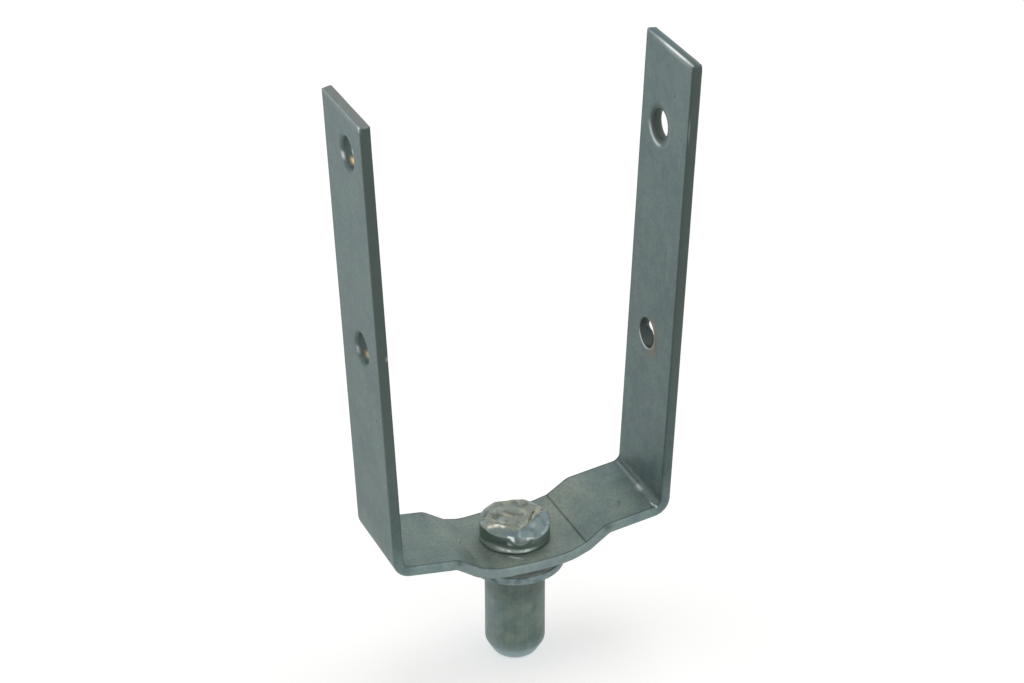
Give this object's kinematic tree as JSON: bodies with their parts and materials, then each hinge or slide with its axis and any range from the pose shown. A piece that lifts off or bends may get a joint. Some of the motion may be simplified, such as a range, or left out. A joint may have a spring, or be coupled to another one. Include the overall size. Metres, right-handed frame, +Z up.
{
  "type": "swivelling post fork bracket",
  "caption": "U-shaped steel fork that holds the end of a post by bolts through its legs, riveted to turn on a short round spigot over a loose thrust washer.",
  "frame": {"origin": "on the pin's axis, level with the underside of the washer", "axes": "+Z up the pin towards the open end of the fork, X across the fork from leg to leg, Y along the width of the strip"},
  "size_m": [0.1012, 0.033, 0.1906],
  "materials": {
    "strap_zinc": "hot-dip galvanised flat bar, dull grey-green, mottled",
    "pin_zinc": "dull zinc over drawn round bar, with a bare hammered head",
    "washer_zinc": "galvanised punched washer"
  },
  "bodies": {
    "pin": {"swivel_pin": "pin_zinc"},
    "fork": {"fork_strap": "strap_zinc"},
    "washer": {"collar_washer": "washer_zinc"}
  },
  "joints": [
    {"name": "fork_swivel", "type": "hinge", "parent": "pin", "child": "fork", "pos_m": [0, 0, 0], "axis": [0, 0, 1], "continuous": true},
    {"name": "washer_spin", "type": "hinge", "parent": "pin", "child": "washer", "pos_m": [0, 0, 0], "axis": [0, 0, 1], "continuous": true}
  ]
}
